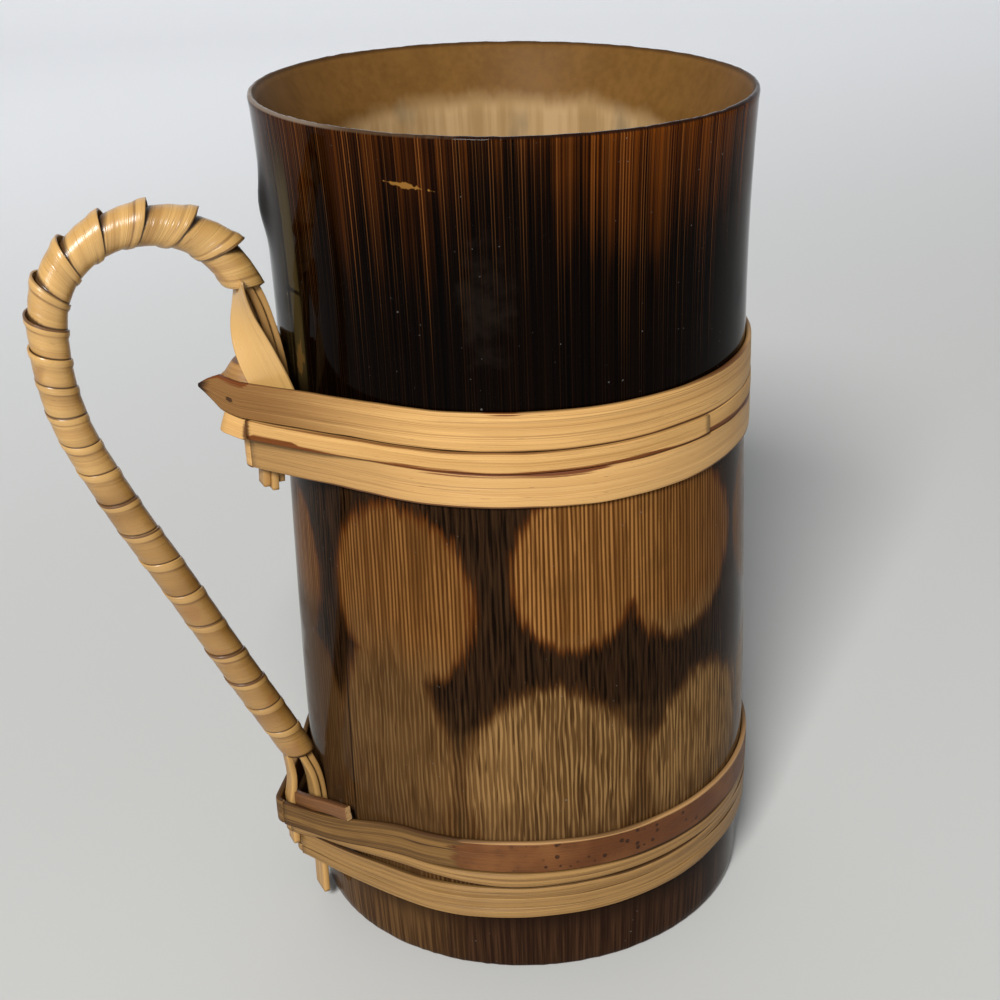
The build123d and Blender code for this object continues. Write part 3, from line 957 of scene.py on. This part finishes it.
def make_handle_strip(name, node, shift, width, low_cut, high_cut, material, seed, splay=0.0):
    """A strip inside the handle, shifted towards the hook's outside; splay spreads its lower end."""
    line = handle_line()
    stations = []
    for i, (point, heading) in enumerate(zip(line, headings(line))):
        out = outside(heading)
        middle = point + out * shift
        first_leg = i < len(line) / 3
        if middle.z < (high_cut if first_leg else low_cut):
            continue
        if not first_leg:
            middle = middle - Vector((splay * min(max((34.0 - middle.z) / 11.0, 0.0), 1.0), 0, 0))
        waver = 0.05 * wander(i * 0.08, seed)
        inner_face = middle - out * (STRIP_THICKNESS / 2 + waver)
        stations.append((inner_face, Vector((0, 1, 0)), out, width, STRIP_THICKNESS))
    mesh = bmesh.new()
    lay_strip(mesh, stations, seed)
    return finish_strip(name, mesh, material, "rattan_core", node)


def wrap_place(turn):
    """Distance along the handle of the winding's upper edge after a number of turns."""
    swing = 2 * math.pi / WRAP_SWING_TURNS
    return WRAP_PITCH * turn + WRAP_PITCH_SWING / swing * math.sin(swing * turn)


def stand_off(turn, angle):
    """How far the upper edge of a turn on the hook stands off on the outside."""
    reach = (1.45 - 0.11 * (turn - 1)) * ease(0.6, 1.0, turn) * ease(9.5, 6.5, turn)
    return reach * max(math.cos(angle), 0.0)


def wrap_radius(turn, angle, share):
    """Inner radius of the wound strip, whose lip laps the turn before."""
    radius = WRAP_INNER + (WRAP_INNER_LOW - WRAP_INNER) * ease(9.0, 13.0, turn)
    lip = WRAP_LIP * (1 - ease(0.14, 0.26, share)) * ease(0.3, 1.0, turn)
    radius += lip * (1 - 0.45 * ease(7.0, 11.0, turn))
    return radius + stand_off(turn, angle) * (0.92 - share)


def make_handle_wrap(material):
    """The wound strip, each turn's upper edge on the turn before, and its first end under the band."""
    line = handle_line()
    ways = headings(line)
    spacing = sum((b - a).length for a, b in zip(line, line[1:])) / (len(line) - 1)
    start = next(i for i, point in enumerate(line) if point.z > WRAP_START) * spacing

    def frame_at(place):
        spot = min(max(place / spacing, 0.0), len(line) - 1.001)
        i = int(spot)
        heading = ways[i].lerp(ways[i + 1], spot - i).normalized()
        return line[i].lerp(line[i + 1], spot - i), outside(heading)

    def wind(row, share, depth):
        turn = row / WRAP_SIDES
        angle = math.pi / 2 - 2 * math.pi * turn
        near = start + wrap_place(turn)
        far = start + wrap_place(turn + 1) + WRAP_LAP
        shift = 0.2 * wander(turn * 2.3 + share * 0.4, 6.0)
        middle, out = frame_at(near + (far - near) * share + shift)
        radius = wrap_radius(turn, angle, share) + 0.06 * wander(turn * 1.9, 3.0) + depth * WRAP_THICKNESS
        marks = {"along": turn * 2 * math.pi * (WRAP_INNER + 0.4) * MM, "across": 2 * share - 1}
        marks["seed"] = WRAP_SEED + math.floor(turn) * 0.37
        # Painted shadow mark: 1 at the seam under the next turn's edge, falling to 0 over a width that grows
        # with how far that edge stands off.
        next_edge = start + wrap_place(turn + 1) + 0.2 * wander((turn + 1) * 2.3, 6.0)
        to_seam = next_edge - near - (far - near) * share - shift
        if turn < WRAP_TURNS - 1:
            marks["shadow"] = 1 - to_seam / max(1.3 * stand_off(turn + 1, angle), 0.4)
        return middle + out * (radius * math.cos(angle)) + Vector((0, radius * math.sin(angle), 0)), marks

    mesh = bmesh.new()
    bend_grid(mesh, WRAP_OUTLINE, WRAP_TURNS * WRAP_SIDES + 1, wind)
    lead = smooth_line([in_plane(*point) for point in WRAP_LEAD], 0.7)
    stations = []
    for point, heading in zip(lead, headings(lead)):
        face_turn = math.radians(176 + 80 * ease(116.5, 101.0, point.z))
        facing = Vector((math.cos(face_turn), math.sin(face_turn), 0))
        wide = heading.cross(facing).normalized()
        out = wide.cross(heading).normalized()
        stations.append((point, wide, out, LEAD_WIDTH, WRAP_THICKNESS))
    lay_strip(mesh, stations, LEAD_SEED)
    return finish_strip("handle_winding", mesh, material, "rattan_wrap", "handle_wrap")


def make_lock_strip(name, node, points, width, material, seed, lean=0.0):
    """A short loose strip end; points are its middle line on the inner face, lean tilts its second half."""
    line = smooth_line([Vector(point) for point in points], 0.6)
    stations = []
    for i, (point, heading) in enumerate(zip(line, headings(line))):
        upward = Vector((0, 0, 1))
        wide = (upward - heading * upward.dot(heading)).normalized()
        out = heading.cross(wide).normalized()
        wide = (wide + out * lean * ease(0.35, 0.65, i / len(line))).normalized()
        stations.append((point, wide, out, width + 0.1 * wander(i * 0.2, seed), BAND_THICKNESS))
    mesh = bmesh.new()
    lay_strip(mesh, stations, seed)
    return finish_strip(name, mesh, material, "rattan_band", node)


def build_cup():
    """Every piece of the cup."""
    make_culm()
    char = (0.085, 0.026, 0.007)
    straw, deep_straw = (0.575, 0.332, 0.118), (0.465, 0.25, 0.08)
    # The band's bottom strip carries painted shade over its first length.
    band = make_rattan("band_rattan", straw, deep_straw, char, remains=(1, 0.51), dulled=0.044)
    # The barked strip's lap end is darkened: a burnt end with painted shade of the gap beside it.
    barked = make_rattan(
        "band_rattan_barked", straw, deep_straw, (0.17, 0.068, 0.019),
        gloss=0.1, remains=(-1, 0.345), burnt_end=(-0.0473, -0.0039),
    )
    tip = make_rattan("band_rattan_tip", straw, deep_straw, char, gloss=0.14, browned=0.044, remains=(1, 0.6))
    brown_lock = make_rattan("lock_rattan", (0.36, 0.19, 0.062), (0.22, 0.105, 0.032), char)
    low_char = (0.045, 0.018, 0.006)
    low_band = make_rattan(
        "low_band_rattan", (0.345, 0.192, 0.06), (0.195, 0.097, 0.027), low_char,
        lines=0.55,
    )
    skin = make_rattan(
        "low_band_skin", (0.195, 0.101, 0.029), (0.066, 0.0305, 0.0078), low_char,
        lines=0.95, gloss=0.16, skin_from=0.034,
    )
    stub = make_rattan("stub_rattan", (0.19, 0.08, 0.025), (0.11, 0.04, 0.0115), low_char)
    core = make_rattan(
        "core_rattan", (0.47, 0.268, 0.088), (0.33, 0.17, 0.05), (0.14, 0.055, 0.016),
        edge_from=1.5,
    )
    wound = make_rattan(
        "wound_rattan", (0.565, 0.332, 0.108), (0.425, 0.228, 0.066), (0.085, 0.032, 0.009),
        gloss=0.75, rough=0.31, grooved=0.38, lines=0.12, golden=(0.255, 0.124, 0.027),
    )
    slopes = {"low_slope": -0.01, "high_slope": -0.01}
    make_band_strip(
        "upper_top_strip", "upper_band_top_strip", 94.4, 100.3, UPPER_NOSE,
        tip, "rattan_band", 1.0, tip=5.0, tip_rise=1.7, nose_share=0.0, **slopes,
    )
    make_band_strip(
        "upper_middle_strip", "upper_band_middle_strip", 91.1, 94.25, UPPER_NOSE,
        barked, "rattan_band", 4.0, tip=-3.1, tip_rise=0.25, lapped=115.0,
        lap=3.0, lap_rise=0.75, lap_drop=0.75, lap_lean=0.35, **slopes,
    )
    make_band_strip(
        "upper_bottom_strip", "upper_band_bottom_strip", 85.3, 90.95, UPPER_NOSE - 3.2,
        band, "rattan_band", 8.0, **slopes,
    )
    make_band_strip(
        "lower_top_strip", "lower_band_top_strip", 20.55, 26.3, LOWER_NOSE,
        skin, "rattan_skin", 12.0, dip=3.0, drawn=(1.2, -0.2),
    )
    make_band_strip(
        "lower_middle_strip", "lower_band_middle_strip", 18.2, 20.4, LOWER_NOSE - 1.2,
        low_band, "rattan_band", 16.0, dip=2.5, drawn=(2.0, 1.0), narrowed=1.1,
        low_slope=0.025, high_slope=0.004,
    )
    make_band_strip(
        "lower_bottom_strip", "lower_band_bottom_strip", 12.1, 17.75, LOWER_NOSE - 2.8,
        low_band, "rattan_band", 20.0, ribs=3, dip=1.7, drawn=(2.7, 1.6), low_slope=0.035, high_slope=0.03,
    )
    make_handle_strip("outer_strip", "handle_outer_strip", STRIP_PITCH, 3.0, 13.6, 82.2, core, 24.0, 3.2)
    make_handle_strip("middle_strip", "handle_middle_strip", 0.0, 4.4, 2.5, 81.1, core, 27.0)
    make_handle_strip("finger_strip", "handle_finger_strip", -STRIP_PITCH, 3.0, 13.6, 81.6, core, 30.0)
    make_handle_wrap(wound)
    make_lock_strip("upper_lock", "upper_lock_strip", UPPER_LOCK, 3.4, brown_lock, 33.0, -0.7)
    make_lock_strip("lower_lock", "lower_lock_strip", LOWER_LOCK, 2.5, stub, 36.0)


def make_stage():
    """Pale floor that rises into a plain backdrop."""
    mesh = bmesh.new()
    bends = [math.pi / 2 * i / 12 for i in range(1, 13)]
    outline = [(-3.0, 0.0), (0.9, 0.0)]
    outline += [(0.9 + 0.5 * math.sin(t), 0.5 - 0.5 * math.cos(t)) for t in bends]
    outline += [(1.4, 3.0)]
    verts = [mesh.verts.new((-4.0, y, z)) for y, z in outline]
    edges = [mesh.edges.new(pair) for pair in zip(verts, verts[1:])]
    swept = bmesh.ops.extrude_edge_only(mesh, edges=edges)["geom"]
    swept = [item for item in swept if isinstance(item, bmesh.types.BMVert)]
    bmesh.ops.translate(mesh, vec=(8.0, 0, 0), verts=swept)
    around = Matrix.Rotation(CAMERA_TURN, 3, "Z")
    bmesh.ops.rotate(mesh, cent=(0, 0, 0), matrix=around, verts=mesh.verts)
    bmesh.ops.recalc_face_normals(mesh, faces=mesh.faces)
    paper = Finish("pale_paper", Roughness=0.75)
    to_back = paper.axes(paper.place())[1].step(0.05, 0.8)
    paper.paint(Base_Color=paper.blend(to_back, (0.51, 0.51, 0.49), (0.9, 0.91, 0.93)))
    floor = as_object("floor", mesh, [paper.material])


def add_lamp(name, place, aim, size, power):
    """A square soft lamp that points at aim."""
    lamp = bpy.data.lights.new(name, "AREA")
    lamp.size = size
    lamp.energy = power
    holder = bpy.data.objects.new(name, lamp)
    holder.location = place
    holder.rotation_euler = (Vector(aim) - Vector(place)).to_track_quat("-Z", "Y").to_euler()
    bpy.context.scene.collection.objects.link(holder)


def light_scene():
    """Soft key from the camera's left, weaker fill from the right, pale surroundings."""
    add_lamp("key", (-1.14, -1.33, 1.44), (0, 0, 0.07), 0.55, 66.0)
    add_lamp("fill", (1.3, -1.6, 1.4), (0, 0, 0.07), 1.4, 0.8)
    world = bpy.data.worlds.new("room")
    bpy.context.scene.world = world
    world.use_nodes = True
    background = world.node_tree.nodes["Background"]
    background.inputs["Color"].default_value = (0.93, 0.96, 1.0, 1.0)
    background.inputs["Strength"].default_value = 0.23


def set_camera():
    """Camera where the picture was taken: near, above, turned a little towards the handle."""
    distance, height = 265.13 * MM, 191.53 * MM
    pitch, roll, yaw = 0.4326, -0.0345, -0.0104
    right = Vector((1, 0, 0))
    ahead = Vector((0, math.cos(pitch), -math.sin(pitch)))
    up = right.cross(ahead)
    ahead, right = (
        math.cos(yaw) * ahead + math.sin(yaw) * right,
        math.cos(yaw) * right - math.sin(yaw) * ahead,
    )
    right, up = (
        math.cos(roll) * right + math.sin(roll) * up,
        math.cos(roll) * up - math.sin(roll) * right,
    )
    around = Matrix.Rotation(CAMERA_TURN, 3, "Z")
    axes = Matrix((around @ right, around @ up, -(around @ ahead))).transposed()
    data = bpy.data.cameras.new("camera")
    data.sensor_width = 36.0
    data.lens = 61.2
    data.clip_start = 0.01
    camera = bpy.data.objects.new("camera", data)
    camera.matrix_world = Matrix.Translation(around @ Vector((0, -distance, height))) @ axes.to_4x4()
    bpy.context.scene.collection.objects.link(camera)
    bpy.context.scene.camera = camera


build_cup()
make_stage()
light_scene()
set_camera()
bpy.context.scene.view_settings.view_transform = "Standard"
